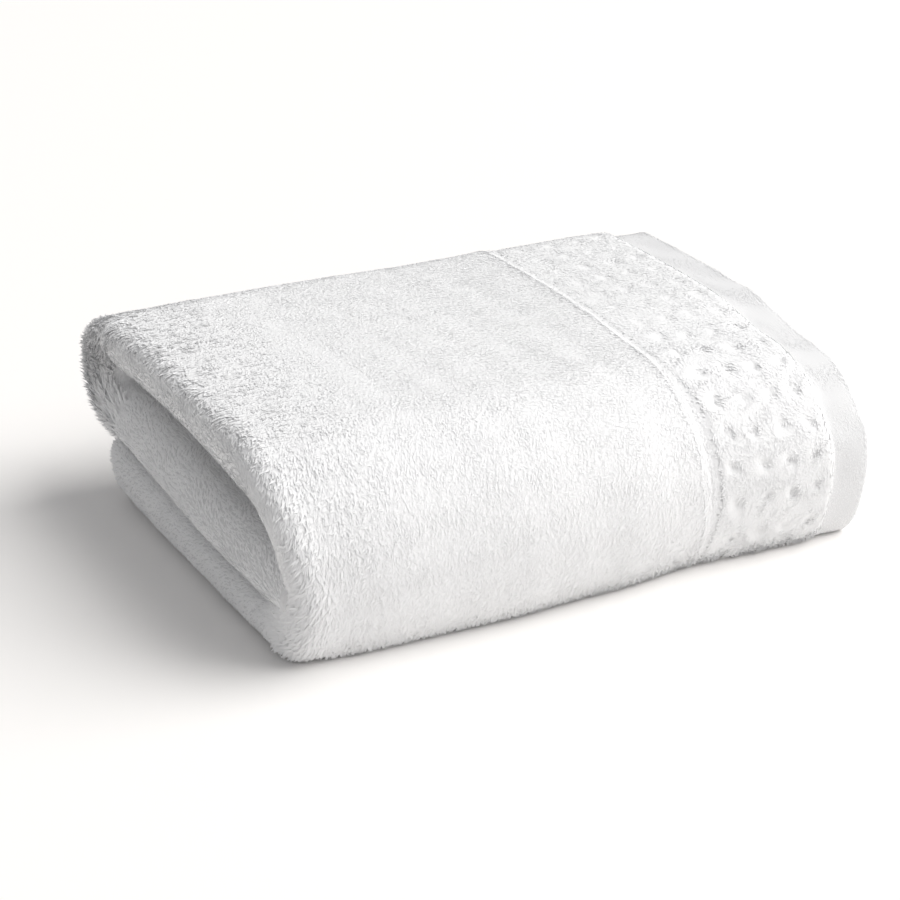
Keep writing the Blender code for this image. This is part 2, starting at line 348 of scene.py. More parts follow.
# %% Soft patches and dimples
PATCH_RELIEF = 0.1 * MM
PATCH_SIZE = 10 * MM
DIMPLE_PITCH_U = 10.6 * MM
DIMPLE_PITCH_V = 12.75 * MM
FIRST_DIMPLE_U = 23.6 * MM
FIRST_DIMPLE_V = 308.0 * MM
DIMPLES_ACROSS = 4
DIMPLE_DEPTH = 0.95 * MM
DIMPLE_RADIUS = 2.2 * MM
DIMPLE_WANDER = 0.8 * MM
TOP_DIMPLES = 0.28              # how deep they are on the top, as a share of those on the front
PUFF = 0.35 * MM                # rise of the cloth between the dimples
GROOVE_DEPTH = 0.8 * MM
GROOVE_WIDTH = 0.7 * MM
RIDGE = 0.25 * MM               # rise of the pile's first rows above the rest of it
HEM_RELIEF = 0.3 * MM
LINE_PULL = 3.6 * MM            # how far the front wall pulls the pile's first row to the hem
FRONT_STARTS = (250 * MM, 300 * MM)
PULL_STARTS, PULL_ENDS = (285 * MM, 312 * MM), (340 * MM, 366 * MM)
WAVES = 12                      # waves that are added up for an uneven field


def patches(u, v, size, seed):
    """A smooth uneven field about as strong as -1 to 1, whose patches are about the given size."""
    random = np.random.default_rng(seed)
    total = np.zeros_like(u)
    for _ in range(WAVES):
        angle, phase = random.uniform(0, 2 * math.pi, 2)
        wave = math.pi / size * random.uniform(0.7, 1.4)
        total += np.sin(wave * (u * math.cos(angle) + v * math.sin(angle)) + phase)
    return total * math.sqrt(2 / WAVES) / 1.6


def from_nearest(value, first, pitch):
    """Signed distance to the nearest of a row of evenly spaced places."""
    return (value - first + pitch / 2) % pitch - pitch / 2


def dimples(u, v):
    """About 1 in the middle of each of the border's dimples, falling to 0 around it."""
    last = FIRST_DIMPLE_U + (DIMPLES_ACROSS - 0.5) * DIMPLE_PITCH_U
    in_rows = (u > FIRST_DIMPLE_U - DIMPLE_PITCH_U / 2) & (u < last)
    du = from_nearest(u + DIMPLE_WANDER * patches(u, v, 14 * MM, 11), FIRST_DIMPLE_U, DIMPLE_PITCH_U)
    dv = from_nearest(v + DIMPLE_WANDER * patches(u, v, 14 * MM, 12), FIRST_DIMPLE_V, DIMPLE_PITCH_V)
    strength = 0.85 + 0.2 * patches(u, v, 16 * MM, 13)
    return in_rows * strength * np.exp(-(np.abs(du) ** 3 + np.abs(dv) ** 3) / DIMPLE_RADIUS ** 3)


def pile_line(v):
    """Where the pile starts along u. On the front the folded cloth pulls it towards the hem."""
    return PILE_LINE - LINE_PULL * smooth_step(*PULL_STARTS, v) * (1 - smooth_step(*PULL_ENDS, v))


def tufted(u, v):
    """1 where tufts stand on the cloth's pile side, and 0 where it is flat or out of sight."""
    on_panel = smooth_step(RUN_STARTS["back fold"] - 10 * MM, RUN_STARTS["back fold"], v)
    off_floor = 1 - smooth_step(RUN_STARTS["bottom"] - 6 * MM, RUN_STARTS["bottom"], v)
    on_leg = u < LEG - 6 * MM
    outer_leg = on_leg * smooth_step(HEM_WIDTH - 1 * MM, HEM_WIDTH, u) * on_panel * off_floor
    nose = ~on_leg * (1 - smooth_step(STRETCH_ENDS[1] + 6 * MM, STRETCH_ENDS[1] + 9 * MM, u))
    return np.maximum(outer_leg, nose)


probe = np.array([[30.0, 308.0], [FIRST_DIMPLE_U / MM, 308.0], [120.0, 230.0]]) * MM
print("dimple at three places:", np.round(dimples(probe[:, 0], probe[:, 1]), 2))

# %% Height of the two faces
TUFT_RISE = 0.6 * MM            # what the tufts stand proud of the sheet in the pile
NUB_RISE = 0.4 * MM             # and in the border
HEM_EDGE = 0.55                 # thickness of the hem's very edge, as a share of the hem's
SELVEDGE_FADE = 6 * MM          # how far from a selvedge the cloth has its full thickness
GROOVE_PLACE = 0.7 * MM         # from the pile's first row towards the hem
RIDGE_WIDTH = 4 * MM


def thickness(u, v):
    """Thickness of the whole cloth, pressed where it carries the towel and thin at its selvedges."""
    from_hem, from_edge = np.minimum(u, CLOTH_LENGTH - u), np.minimum(v, CLOTH_WIDTH - v)
    thick = zone_thickness(from_hem) * blend(HEM_EDGE, 1.0, smooth_step(-0.2 * MM, 1.0 * MM, from_hem))
    thick = np.minimum(thick, blend(SELVEDGE_THICK, PILE_THICK, from_edge / SELVEDGE_FADE))
    press = along_joints(np.interp(v, ACROSS, WAY))[0]
    return thick * np.minimum(1.0, press)


def pile_side(u, v):
    """Height of the sheet's pile side above the cloth's middle, under the tufts."""
    from_line = u - pile_line(v)
    in_pile = smooth_step(-0.3 * MM, 0.3 * MM, from_line)
    grown = tufted(u, v)
    height = thickness(u, v) / 2
    height = height - grown * (NUB_RISE + (TUFT_RISE - NUB_RISE) * in_pile)
    height = height + grown * PATCH_RELIEF * patches(u, v, PATCH_SIZE, 1) * in_pile
    in_border = smooth_step(HEM_WIDTH, HEM_WIDTH + 2 * MM, u) * (1 - in_pile)
    strength = blend(TOP_DIMPLES, 1.0, smooth_step(*FRONT_STARTS, v))
    height = height + grown * in_border * strength * (PUFF - (PUFF + DIMPLE_DEPTH) * dimples(u, v))
    in_hem = 1 - smooth_step(HEM_WIDTH - 5 * MM, HEM_WIDTH, u)
    height = height + in_hem * HEM_RELIEF * patches(u, v, 11 * MM, 2)
    groove = np.exp(-((from_line + GROOVE_PLACE) / GROOVE_WIDTH) ** 2)
    ridge = in_pile * np.exp(-(from_line / RIDGE_WIDTH) ** 2)
    return height + grown * (RIDGE * ridge - GROOVE_DEPTH * groove)


print("height of the pile side, mm:", np.round(pile_side(probe[:, 0], probe[:, 1]) / MM, 2))

# %% [markdown]
# ## The sheet
#
# The sheet starts as one flat bmesh grid. Its lines stand close together where something small has
# to show, such as the border, and far apart in the layers that nobody sees. Each point is folded,
# shifted half way between its two faces, and Solidify then gives it the right thickness there. Its
# UV map keeps u and v in metres, so finishes can follow the cloth.

# %% Lines of the grid


def spaced(*stretches):
    """Places from 0 on, with each stretch of a given length cut into even steps of about a size."""
    places = [0.0]
    for length, size in stretches:
        count = max(1, round(length / size))
        places += list(places[-1] + length * np.arange(1, count + 1) / count)
    return np.array(places)


# Along the cloth: how long each stretch is, and about how far apart its lines are
lines = spaced(
    (0.6 * MM, 0.6 * MM),
    (HEM_WIDTH - 2.6 * MM, 2.6 * MM),
    (4 * MM, 1 * MM),
    (BORDER_WIDTH - 4 * MM, 1.2 * MM),
    (4 * MM, 0.5 * MM),
    (LEG - PILE_LINE - 2 * MM, 2.5 * MM),
    (math.pi * OUTER_NOSE, 1.6 * MM),
    (60 * MM, 3 * MM),
    (LEG - FOLD_SETBACK - 90 * MM, 12 * MM),
    (30 * MM, 4 * MM),
    (math.pi * INNER_NOSE, 1.2 * MM),
    (LEG - FOLD_SETBACK, 12 * MM),
    (math.pi * INNER_NOSE, 1.2 * MM),
    (LEG - INNER_HEM_SETBACK - PILE_LINE, 12 * MM),
    (BORDER_WIDTH, 12 * MM),
    (HEM_WIDTH - 3 * MM, 3 * MM),
    (3 * MM, 1 * MM),
)

# Across it: the runs of the fold, with eight rows to a dimple where they show
run_lengths = dict(zip(RUNS, np.diff(list(RUN_STARTS.values()) + [CLOTH_WIDTH])))
fine = DIMPLE_PITCH_V / 8
rows = spaced(
    (5 * MM, 1.7 * MM),
    (run_lengths["flap"] - 5 * MM, 5 * MM),
    (run_lengths["back fold"], 1.9 * MM),
    (run_lengths["top"], fine),
    (run_lengths["shoulder"], fine),
    (run_lengths["toe"], fine),
    (run_lengths["bottom"] - 5 * MM, 5 * MM),
    (5 * MM, 1.7 * MM),
)
rows *= CLOTH_WIDTH / rows[-1]
lines *= CLOTH_LENGTH / lines[-1]
faces = (len(lines) - 1) * (len(rows) - 1)
print(len(lines), "lines along and", len(rows), "rows across make", faces, "faces on each side")

# %% Weave and fold the sheet


def keep(name, bm):
    """Makes a bmesh a named object in the scene."""
    mesh = bpy.data.meshes.new(name)
    bm.to_mesh(mesh)
    bm.free()
    piece = bpy.data.objects.new(name, mesh)
    bpy.context.scene.collection.objects.link(piece)
    return piece


def weave_sheet():
    """The towel's one cloth as a folded sheet."""
    bm = bmesh.new()
    bmesh.ops.create_grid(bm, x_segments=len(lines) - 1, y_segments=len(rows) - 1, size=0.5)
    at = np.array([vert.co for vert in bm.verts])
    u = lines[np.rint((at[:, 0] + 0.5) * (len(lines) - 1)).astype(int)]
    v = rows[np.rint((at[:, 1] + 0.5) * (len(rows) - 1)).astype(int)]
    back, front = thickness(u, v) / 2, pile_side(u, v)
    out = cloth_frame(u, v)[2]
    place = fold(u, v) + out * ((front - back) / 2)[:, None]
    flat_map = bm.loops.layers.uv.new("cloth")
    for vert, point in zip(bm.verts, place):
        vert.co = point
    bm.verts.index_update()
    for face in bm.faces:
        for loop in face.loops:
            loop[flat_map].uv = (u[loop.vert.index], v[loop.vert.index])
    sheet = keep("towel_cloth", bm)
    group = sheet.vertex_groups.new(name="thickness")
    for index, thick in enumerate(front + back):
        group.add([index], thick / PILE_THICK, "REPLACE")
    wall = sheet.modifiers.new("thickness", "SOLIDIFY")
    wall.thickness = PILE_THICK
    wall.offset = 0.0
    wall.use_even_offset = True
    wall.vertex_group = group.name
    sheet.data.shade_smooth()
    return sheet


cloth = weave_sheet()
print(cloth.name, "has", len(cloth.data.vertices), "points before its thickness")

# %% [markdown]
# ## The pile
#
# Each loop of the pile shows as a small tuft. Hair particles could grow there, but they are lost in
# an exported model, so a tuft is a mesh: a three-sided cone that bmesh makes once. Thousands of
# copies are worked out as arrays, each with its own root on the cloth, length, width and lean, and
# joined into a few meshes. Tufts that lie nearly flat, like fallen grass, look as soft as terry.
# Upright ones look like bristles. The tufts next to the border are plumper, with a ring of points.

# %% One tuft
BLUNTNESS = 3


def tuft_shape(rings=()):
    """Points and faces of a tuft 1 high. With rings it is plump, and without it is a plain cone."""
    bm = bmesh.new()
    bmesh.ops.create_cone(bm, cap_ends=True, cap_tris=False, segments=3,
                          radius1=0.5, radius2=0.0, depth=1.0)
    bmesh.ops.remove_doubles(bm, verts=bm.verts, dist=1e-4)
    bmesh.ops.translate(bm, vec=(0, 0, 0.5), verts=bm.verts)
    for height in rings:
        parts = bm.verts[:] + bm.edges[:] + bm.faces[:]
        bmesh.ops.bisect_plane(bm, geom=parts, plane_co=(0, 0, height), plane_no=(0, 0, 1))
    for vert in bm.verts:
        if 0.01 < vert.co.z < 0.99:
            vert.co.xy = vert.co.xy.normalized() * 0.5 * math.sqrt(1 - vert.co.z ** BLUNTNESS)
    bmesh.ops.recalc_face_normals(bm, faces=bm.faces)
    bm.verts.index_update()
    points = np.array([vert.co for vert in bm.verts])
    faces = [[vert.index for vert in face.verts] for face in bm.faces]
    bm.free()
    return points, faces


NAP = tuft_shape()
PLUMP = tuft_shape(rings=[0.5])
for name, (points, faces) in {"tuft": NAP, "plump tuft": PLUMP}.items():
    print("one", name, "has", len(points), "points and", len(faces), "faces")

# %% Where tufts grow
SCATTER = 0.48                  # how far a tuft strays from its cell's middle, as a share of the cell
CLUMP_TABLE = 64                # clumps along each way after which their random shifts repeat


def scatter(u_from, u_to, v_from, v_to, spacing, seed):
    """One place in each cell of an even grid over a part of the flat cloth, at random inside it."""
    random = np.random.default_rng(seed)
    across, along = round((u_to - u_from) / spacing), round((v_to - v_from) / spacing)
    u, v = np.meshgrid(np.arange(across) + 0.5, np.arange(along) + 0.5)
    u, v = u.ravel(), v.ravel()
    u = u + 0.5 * (np.floor(v) % 2) - 0.25
    u = u_from + (u + random.uniform(-SCATTER, SCATTER, len(u))) * (u_to - u_from) / across
    v = v_from + (v + random.uniform(-SCATTER, SCATTER, len(v))) * (v_to - v_from) / along
    return np.clip(u, u_from, u_to), np.clip(v, v_from, v_to), random


def to_clump(u, v, size):
    """From each place to the middle of its clump, along u and along v."""
    shifts = np.random.default_rng(5).uniform(-0.5, 0.5, (2, CLUMP_TABLE, CLUMP_TABLE))
    cell_u, cell_v = np.floor(u / size).astype(int), np.floor(v / size).astype(int)
    shift_u, shift_v = shifts[:, cell_u % CLUMP_TABLE, cell_v % CLUMP_TABLE]
    return (cell_u + 0.5 + shift_u) * size - u, (cell_v + 0.5 + shift_v) * size - v


u, v, _ = scatter(0, 20 * MM, 0, 20 * MM, spacing=1 * MM, seed=1)
print(len(u), "places for tufts on a patch of 20 x 20 mm")

# %% Planting tufts
ROOT_DEPTH = 0.2 * MM
FLATTEST = 0.985
FLOOR_CLEARANCE = 0.1 * MM


def varied(size, spread, random, count):
    """A size for each tuft, up to a share of it more or less."""
    return size * random.uniform(1 - spread, 1 + spread, count)


def lying(flatness, heading):
    """How far tufts tip over along u and along v: 0 is upright and 1 is flat. Headings turn from u to v."""
    return flatness * np.cos(heading), flatness * np.sin(heading)


def plant(name, shape, u, v, random, length, width, lay, squash, twist, gather=0.0, clump=3 * MM):
    """Joins a copy of the tuft for each place into one mesh.

    lay is how it lies, squash its thickness as a share of its width, twist how far it may turn on
    itself, and gather how far its tip is drawn to the middle of its clump.
    """
    along, across, out = cloth_frame(u, v)
    clump_u, clump_v = to_clump(u, v, clump)
    tip_u, tip_v = lay[0] + gather * clump_u / length, lay[1] + gather * clump_v / length
    lean = np.minimum(np.hypot(tip_u, tip_v), FLATTEST)[:, None]
    heading = np.arctan2(tip_v, tip_u)[:, None]
    ahead = along * np.cos(heading) + across * np.sin(heading)
    side = np.cross(ahead, out)
    root = fold(u, v) + out * (pile_side(u, v) - ROOT_DEPTH)[:, None]
    points, faces = shape
    turn = random.uniform(-twist, twist, len(u))[:, None]
    length, width, high = length[:, None], width[:, None], points[:, 2][None, :]
    sideways = (points[:, 0] * np.cos(turn) - points[:, 1] * np.sin(turn)) * width
    thick = (points[:, 0] * np.sin(turn) + points[:, 1] * np.cos(turn)) * width * squash
    upright = np.sqrt(1 - lean ** 2)
    up, over = length * high * upright - lean * thick, length * high * lean + upright * thick
    moves = ((out, up), (ahead, over), (side, sideways))
    place = sum(way[:, None, :] * far[:, :, None] for way, far in moves)
    place = (root[:, None, :] + place).reshape(-1, 3)
    place[:, 2] = np.maximum(place[:, 2], FLOOR_CLEARANCE)
    count = len(points)
    all_faces = [[corner + first for corner in face]
                 for first in range(0, count * len(u), count) for face in faces]
    mesh = bpy.data.meshes.new(name)
    mesh.from_pydata(place, [], all_faces)
    tip = mesh.attributes.new("tip", "FLOAT", "POINT")
    tip.data.foreach_set("value", np.tile(points[:, 2], len(u)).astype(np.float32))
    piece = bpy.data.objects.new(name, mesh)
    bpy.context.scene.collection.objects.link(piece)
    mesh.calc_loop_triangles()
    print(name, "has", len(u), "tufts and", len(mesh.loop_triangles), "triangles")
    return piece


print("a tuft with a heading of 60 degrees tips over by", np.round(lying(0.97, math.radians(60)), 2))

# %% [markdown]
# ## How the pile lies
#
# A washed towel is combed by the hand that folds it. A comb direction could be painted on, but here
# it is again arithmetic on u and v, so it turns smoothly from one part of the cloth to the next.

# %% The way the pile is combed
NOSE_TIP = LEG + math.pi * OUTER_NOSE / 2
MOUTH_START = NOSE_TIP - 2 * MM
MOUTH_END = STRETCH_ENDS[1] + 36 * MM   # as deep into the open end as the eye reaches
AT_SHOULDER, AT_TOE = RUN_STARTS["shoulder"], RUN_STARTS["toe"]

# Headings of the pile in degrees, from 0 along the towel to 90 straight down the front
BY_BORDER, BY_OPEN_END, DOWN_FRONT = 6, 52, 80
OVER_FOLD, OVER_FOLD_IN_FRONT = 50, 66


def combing(u, v, flatness, random, unevenness=0.35):
    """How the pile lies on the outer layer, along u and along v.

    By the border it lies along the towel, and it turns across it towards the open end. Over that
    end's fold it follows the fold more than it falls outwards, and on the front it points down.
    """
    on_front = smooth_step(AT_SHOULDER - 10 * MM, AT_TOE - 15 * MM, v)
    to_fold = smooth_step(PILE_LINE + 5 * MM, LEG - 25 * MM, u)
    over_fold = smooth_step(LEG - 14 * MM, LEG + 2 * MM, u)
    heading = blend(blend(BY_BORDER, BY_OPEN_END, to_fold), DOWN_FRONT, on_front * (0.3 + 0.7 * to_fold))
    heading = np.radians(blend(heading, blend(OVER_FOLD, OVER_FOLD_IN_FRONT, on_front), over_fold))
    turn = 0.15 * patches(u, v, 5 * MM, 21)
    unevenness = unevenness + 0.4 * on_front * (1 - over_fold)
    return lying(flatness, heading + turn + random.normal(0, 1, len(u)) * unevenness)


def at_floor(v):
    """How much less flat the pile lies where the front curves under and brushes the floor."""
    low = smooth_step(AT_TOE + 14 * MM, RUN_STARTS["bottom"], v)
    return 0.06 * low + 0.24 * low ** 4


def lip_end(v):
    """Where along u the long tufts of the open end's fold stop and its smooth underside starts."""
    at_back = 1 - smooth_step(RUN_STARTS["top"] - 8 * MM, RUN_STARTS["top"] + 14 * MM, v)
    on_front = smooth_step(AT_SHOULDER + 20 * MM, AT_TOE, v)
    return LEG + (5 + 3 * on_front) * MM + (NOSE_TIP - LEG) * at_back


probe_u, probe_v = np.array([80, 130, 200]) * MM, np.array([230, 230, 230]) * MM
tried = combing(probe_u, probe_v, 0.97, np.random.default_rng(1), unevenness=0.0)
print("way of the pile on the top, degrees from along u:", np.degrees(np.arctan2(*tried[::-1])).round())

# %% [markdown]
# ## The nap of the top, the front and the back
#
# On the real towel these are loops about 2 mm high that folding has pressed down. One even carpet of
# equal tufts would look like felt. So the nap is planted zone by zone from rows of cells with a
# random place in each, and its tufts get longer, wider and flatter towards the open end.

# %% Nap of the top, the front and the back
LIP_LINE = LEG - 4 * MM
FLUFF_LINE = LEG - 50 * MM
V_START, V_END = RUN_STARTS["back fold"] - 8 * MM, RUN_STARTS["bottom"] + 2 * MM
LONGER_AT_FLOOR = 3             # mm of extra length there, times how much less flat a tuft lies
pile = []
half_way = (PILE_LINE + FLUFF_LINE) / 2
for number, (near, far) in enumerate(((PILE_LINE - 4 * MM, half_way), (half_way, FLUFF_LINE))):
    u, v, random = scatter(near, far, V_START, V_END, spacing=0.66 * MM, seed=100 + number)
    in_pile = u > pile_line(v)
    u, v = u[in_pile], v[in_pile]
    length = varied((1.7 + LONGER_AT_FLOOR * at_floor(v)) * MM, 0.2, random, len(u))
    width = varied(1.0 * MM, 0.15, random, len(u))
    flatness = 0.968 + 0.004 * patches(u, v, 7 * MM, 31) - at_floor(v)
    lay = combing(u, v, flatness, random)
    pile.append(plant(f"nap_{number + 1}", NAP, u, v, random, length, width, lay, squash=0.36, twist=0.6))

# %% Fluffier tufts towards the open end
u, v, random = scatter(FLUFF_LINE, LIP_LINE, V_START, V_END, spacing=0.74 * MM, seed=110)
to_lip = smooth_step(FLUFF_LINE, LIP_LINE, u)
length = varied((blend(1.7, 2.3, to_lip) + LONGER_AT_FLOOR * at_floor(v)) * MM, 0.2, random, len(u))
width = varied(blend(1.0, 1.25, to_lip) * MM, 0.15, random, len(u))
flatness = blend(0.969, 0.98, to_lip) + 0.003 * patches(u, v, 7 * MM, 31) - at_floor(v)
lay = combing(u, v, flatness, random, unevenness=0.26)
pile.append(plant("pile_fluffy", NAP, u, v, random, length, width, lay, gather=0.03 * to_lip,
                  squash=blend(0.36, 0.22, to_lip)[:, None], twist=blend(0.55, 0.3, to_lip)))

# %% [markdown]
# ## The open end
#
# Where the cloth turns back at the open end, its loops are bent apart and stand out the furthest. So
# the lip has the longest tufts, and at its far corner they gather in small clumps. The folds below
# it and the inside of the mouth lie in shade: a coarser nap does there, and deeper in there is none.

# %% Long tufts of the lip and its far corner
u, v, random = scatter(LIP_LINE, NOSE_TIP + 6 * MM, V_START, V_END, spacing=0.8 * MM, seed=120)
on_lip = u < lip_end(v)
u, v = u[on_lip], v[on_lip]
at_fold = smooth_step(LEG - 4 * MM, LEG + 5 * MM, u)
at_back = 1 - smooth_step(RUN_STARTS["top"] - 4 * MM, RUN_STARTS["top"] + 16 * MM, v)
at_corner = at_back * smooth_step(LEG, NOSE_TIP, u)
length = (blend(2.6, 3.2, at_fold) + 0.5 * at_corner) * MM * random.uniform(0.75, 1.2, len(u))
width = varied(1.4 * MM, 0.15, random, len(u))
lay = combing(u, v, blend(0.98, 0.945, at_fold) - 0.1 * at_corner, random)
pile.append(plant("pile_lip", NAP, u, v, random, length, width, lay, gather=0.04 + 0.3 * at_corner,
                  clump=3.4 * MM, squash=0.25, twist=0.4))

# %% Nap of the other folds at the open end, and inside its mouth
FIRST_V, LAST_V = 1 * MM, CLOTH_WIDTH - 1 * MM      # tufts stay this far from the selvedges
for name, start, end, v_start, v_end, spacing in (
    ("nap_flap_fold", LEG - 6 * MM, MOUTH_START, FIRST_V, V_START, 0.8 * MM),
    ("nap_bottom_fold", LEG - 1 * MM, MOUTH_START, V_END, LAST_V, 0.8 * MM),
    ("nap_lip", LEG + 4 * MM, MOUTH_START, V_START, V_END, 0.8 * MM),
    ("nap_mouth", MOUTH_START, MOUTH_END, FIRST_V, LAST_V, 0.86 * MM),
):
    u, v, random = scatter(start, end, v_start, v_end, spacing, seed=130)
    past_lip = (u > lip_end(v) - 1 * MM) | (v < V_START) | (v > V_END)
    u, v = u[past_lip], v[past_lip]
    length = varied(2.3 * MM, 0.2, random, len(u))
    width = varied(1.25 * MM, 0.15, random, len(u))
    heading = np.radians(75) + 0.5 * patches(u, v, 7 * MM, 51) + random.normal(0, 0.2, len(u))
    lay = lying(0.975, heading)
    pile.append(plant(name, NAP, u, v, random, length, width, lay, squash=0.45, twist=0.8))

# %% [markdown]
# ## The hemmed end and the border
#
# The fold that shows between the two hems is as plush as the rest. The border is woven with short
# loops, which the pattern pulls into its dimples, and the hem is flat cloth with a fuzz on it. With
# a bump alone both look moulded, so they have short tufts too. The pile's first rows lean over the
# groove, as they do where the loom starts the loops.

# %% Nap of the inner fold that shows between the hems
start, end = STRETCH_ENDS[2] - 7 * MM, STRETCH_ENDS[3] + 5 * MM
u, v, random = scatter(start, end, FIRST_V, LAST_V, spacing=0.8 * MM, seed=300)
length = varied(1.8 * MM, 0.2, random, len(u))
width = varied(1.1 * MM, 0.15, random, len(u))
heading = np.radians(60) + 0.3 * patches(u, v, 6 * MM, 52) + random.normal(0, 0.5, len(u))
lay = lying(0.965, heading)
pile.append(plant("nap_hem_end", NAP, u, v, random, length, width, lay, squash=0.4, twist=0.7))

# %% Nubs of the border
GROOVE_GAP = 1.4 * MM           # the groove by the pile's first rows has no nubs in it
start, end = HEM_WIDTH - 2 * MM, PILE_LINE - GROOVE_GAP
u, v, random = scatter(start, end, V_START, V_END, spacing=0.85 * MM, seed=400)
ragged_line = HEM_WIDTH + (0.8 - 2.8 * random.random(len(u)) ** 3) * MM
in_border = (u > ragged_line) & (u < pile_line(v) - GROOVE_GAP)
u, v = u[in_border], v[in_border]
length = varied((1.6 + LONGER_AT_FLOOR * at_floor(v)) * MM, 0.2, random, len(u))
width = varied(1.1 * MM, 0.2, random, len(u))
flatness = np.clip(0.963 + 0.01 * patches(u, v, 6 * MM, 61), 0.0, 0.98) - at_floor(v)
swirl = blend(0.8, 1.8, smooth_step(*FRONT_STARTS, v))
heading = swirl * patches(u, v, 7 * MM, 62) + random.normal(0, 0.35, len(u))
lay = lying(flatness, heading)
pile.append(plant("pile_border", NAP, u, v, random, length, width, lay, squash=0.34, twist=0.6))

# %% Fuzz on the hem
start, end = 0.2 * MM, HEM_WIDTH - 0.5 * MM
u, v, random = scatter(start, end, V_START, V_END, spacing=0.64 * MM, seed=450)
length = varied(1.3 * MM, 0.2, random, len(u))
width = varied(0.9 * MM, 0.2, random, len(u))
heading = math.pi / 2 + 0.1 * patches(u, v, 7 * MM, 63) + random.normal(0, 0.2, len(u))
lay = lying(0.975, heading)
pile.append(plant("nap_hem", NAP, u, v, random, length, width, lay, squash=0.25, twist=0.5))

# %% The first rows of the pile, which lean over the border
before_line, past_line = -0.3 * MM, 2.2 * MM
u, v, random = scatter(before_line, past_line, V_START, V_END, spacing=0.85 * MM, seed=500)
u = u + pile_line(v)
length = varied(1.7 * MM, 0.2, random, len(u))
width = varied(1.2 * MM, 0.15, random, len(u))
flatness = varied(0.96, 0.02, random, len(u))
heading = math.pi + random.normal(0, 0.3, len(u))
lay = lying(flatness, heading)
pile.append(plant("pile_edge", PLUMP, u, v, random, length, width, lay, squash=0.3, twist=0.5))

# %% [markdown]
# ## Finishes
#
# Shader maths reads best as plain Python, so a small class wraps a socket and turns + - * into Math
# nodes. Every other node comes from one method. Cotton is matt and nearly white. The hem and the
# bare cloth are painted darker, as painted shade; beyond that, what tells the parts apart is how their
# surfaces catch light. The tufts do most of that, and a fine bump adds the grain of the yarn, which is
# too small to model.

# %% Shader maths
SHINE = 0.1                     # cotton hardly mirrors anything


class Wire:
    """One output of a node. Arithmetic with it adds Math nodes."""

    def __init__(self, finish, socket):
        self.finish, self.socket = finish, socket

    def __add__(self, other):
        return self.finish.math("ADD", self, other)

    def __sub__(self, other):
        return self.finish.math("SUBTRACT", self, other)

    def __rsub__(self, other):
        return self.finish.math("SUBTRACT", other, self)

    def __mul__(self, other):
        return self.finish.math("MULTIPLY", self, other)

    __radd__, __rmul__ = __add__, __mul__


class Finish:
    """A material, and the one method that adds its nodes."""

    def __init__(self, name, roughness):
        self.material = bpy.data.materials.new(name)
        self.material.use_nodes = True
        self.tree = self.material.node_tree
        self.shader = self.tree.nodes["Principled BSDF"]
        self.shader.inputs["Roughness"].default_value = roughness
        self.shader.inputs["Specular IOR Level"].default_value = SHINE

    def plug(self, socket, value):
        if isinstance(value, Wire):
            self.tree.links.new(value.socket, socket)
        else:
            socket.default_value = value

    def node(self, kind, inputs=None, output=0, **settings):
        node = self.tree.nodes.new(kind)
        for name, value in settings.items():
            setattr(node, name, value)
        for name, value in (inputs or {}).items():
            self.plug(node.inputs[name], value)
        return Wire(self, node.outputs[output])

    def math(self, operation, *values):
        return self.node("ShaderNodeMath", dict(enumerate(values)), operation=operation)

    def mix(self, share, one, other):
        """A blend of two colours, which are inputs 6 and 7 of a Mix node, as its output 2."""
        return self.node("ShaderNodeMix", {0: share, 6: one, 7: other}, output=2, data_type="RGBA")

    def noise(self, coordinates, scale, detail=2.0):
        return self.node("ShaderNodeTexNoise", {"Vector": coordinates, "Scale": scale, "Detail": detail})

    def bump(self, height, distance, strength):
        return self.node("ShaderNodeBump", {"Height": height, "Distance": distance, "Strength": strength})

    def finish(self, colour, normal):
        self.plug(self.shader.inputs["Base Color"], colour)
        self.plug(self.shader.inputs["Normal"], normal)
        return self.material


both_ways = [name.strip("_") for name in vars(Wire) if name.startswith("__r")]
print("shader maths works both ways round for", both_ways)

# %% Cotton of the sheet
COTTON = (0.93, 0.93, 0.93, 1.0)
COTTON_SHADE = (0.90, 0.90, 0.905, 1.0)
# painted shade: the hem's cotton is darker than the pile's, standing in for the shade that the pile casts
# on itself
HEM_COTTON_PAINTED_SHADE = (0.81, 0.81, 0.815, 1.0)
BARE_COTTON_PAINTED_SHADE = (0.77, 0.77, 0.775, 1.0)      # painted shade: darker cotton where no tufts stand, for the inside of the mouth and the hemmed end that faces the key light
MATT = 0.95
RIB_PITCH = 1.3 * MM
OBJECT_COORDINATES = 3          # the number of that output of a Texture Coordinate node
MOTTLE_SCALE, LOOP_SCALE, GRAIN_SCALE, STRAND_SCALE = 90.0, 1100.0, 2600.0, 3500.0


